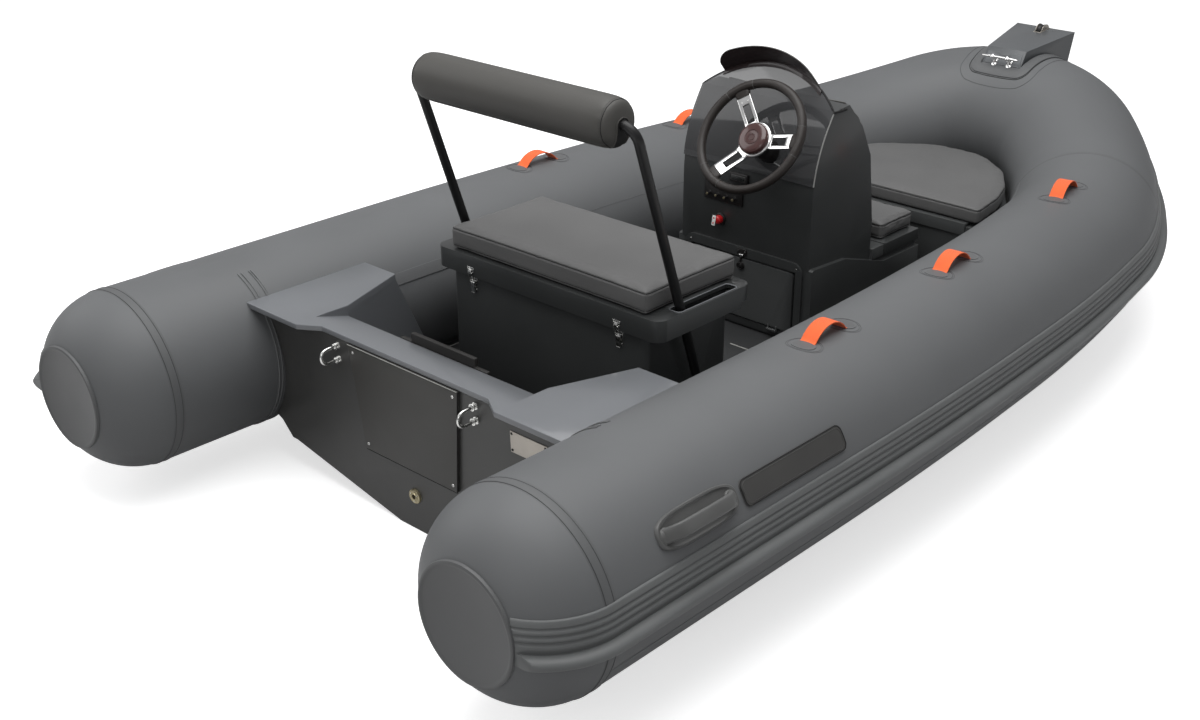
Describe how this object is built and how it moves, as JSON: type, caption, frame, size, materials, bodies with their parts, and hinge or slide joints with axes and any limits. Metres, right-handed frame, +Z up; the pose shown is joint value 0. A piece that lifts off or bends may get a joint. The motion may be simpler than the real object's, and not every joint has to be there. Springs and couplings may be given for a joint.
{
  "type": "inflatable boat with rigid hull and steering console",
  "caption": "Open inflatable boat with a rigid V hull, steering console, hinged locker seats, flip backrest, engine transom and bow roller step.",
  "frame": {"origin": "centre of the boat's length and beam at the flat bottom of the keel", "axes": "+Y toward the bow, +X toward starboard, +Z up"},
  "size_m": [1.9002, 3.4493, 1.048],
  "materials": {
    "pvc_grey": "matte coated fabric",
    "strake_grey": "ribbed",
    "gelcoat_dark": "gelcoat",
    "gelcoat_grey": "gelcoat",
    "plate_dark": "satin",
    "pad_brown": "grained",
    "stainless": "polished",
    "data_beige": "brushed",
    "vinyl_grey": "stitched vinyl",
    "black_tube": "powder coat",
    "smoked": "smoked acrylic",
    "visor_brown": "gloss",
    "black_plastic": "satin",
    "red_plastic": "gloss",
    "rim_black": "moulded grip",
    "hub_brown": "gloss",
    "webbing_orange": "woven webbing"
  },
  "bodies": {
    "boat": {"tube_starboard": "pvc_grey", "tube_port": "pvc_grey", "tube_bow": "pvc_grey", "tail_cones": "pvc_grey", "end_discs": "pvc_grey", "rubbing_strake": "strake_grey", "hull": "gelcoat_dark", "cockpit_sole": "gelcoat_dark", "transom_deck": "gelcoat_grey", "engine_plate_outer": "plate_dark", "engine_pad_inner": "pad_brown", "towing_eyes": "stainless", "drain_bung": "stainless", "data_plate": "data_beige", "seat_locker": "gelcoat_dark", "seat_latches": "stainless", "hatch_frame": "gelcoat_dark", "hatch_latch": "stainless", "windscreen": "smoked", "windscreen_visor": "visor_brown", "switch_panel": "black_plastic", "kill_switch": "red_plastic", "helm_column": "black_plastic", "grab_rail": "black_tube", "console": "gelcoat_dark", "console_back_pad": "vinyl_grey", "bow_locker": "gelcoat_dark", "bow_latch": "stainless", "bow_step": "gelcoat_grey", "mooring_cleat": "stainless", "lifting_straps": "webbing_orange", "carry_handles": "black_plastic", "side_plates": "black_plastic"},
    "steering_wheel": {"wheel_rim": "rim_black", "wheel_spokes": "stainless", "wheel_hub": "hub_brown"},
    "seat_lid_body": {"seat_lid": "gelcoat_dark", "seat_cushion": "vinyl_grey", "seat_hasps": "stainless"},
    "backrest": {"backrest_frame": "black_tube", "backrest_bolster": "vinyl_grey"},
    "hatch": {"hatch_door": "gelcoat_dark"},
    "front_seat": {"front_seat_lid": "gelcoat_dark", "front_seat_cushion": "vinyl_grey"},
    "bow_lid": {"bow_locker_lid": "gelcoat_dark", "bow_cushion": "vinyl_grey"},
    "roller": {"bow_roller": "black_plastic"}
  },
  "joints": [
    {"name": "steering", "type": "hinge", "parent": "boat", "child": "steering_wheel", "pos_m": [0.066, -0.0855, 0.735], "axis": [0, -0.8191, 0.5736], "range_deg": [-540, 540]},
    {"name": "seat_lid_hinge", "type": "hinge", "parent": "boat", "child": "seat_lid_body", "pos_m": [0, -0.4875, 0.483], "axis": [-1, 0, 0], "range_deg": [0, 85]},
    {"name": "backrest_pivot", "type": "hinge", "parent": "boat", "child": "backrest", "pos_m": [0, -0.6255, 0.253], "axis": [-1, 0, 0], "range_deg": [0, 38.5]},
    {"name": "hatch_hinge", "type": "hinge", "parent": "boat", "child": "hatch", "pos_m": [0, -0.0235, 0.168], "axis": [1, 0, 0], "range_deg": [0, 90]},
    {"name": "front_seat_hinge", "type": "hinge", "parent": "boat", "child": "front_seat", "pos_m": [0, 0.5415, 0.337], "axis": [-1, 0, 0], "range_deg": [0, 90]},
    {"name": "bow_lid_hinge", "type": "hinge", "parent": "boat", "child": "bow_lid", "pos_m": [0, 1.1635, 0.347], "axis": [-1, 0, 0], "range_deg": [0, 40]},
    {"name": "roller_spin", "type": "hinge", "parent": "boat", "child": "roller", "pos_m": [0, 1.6195, 0.72405], "axis": [1, 0, 0], "continuous": true}
  ],
  "couplings": [
    {"joint": "backrest_pivot", "follows": "seat_lid_hinge", "ratio": 0.45}
  ]
}
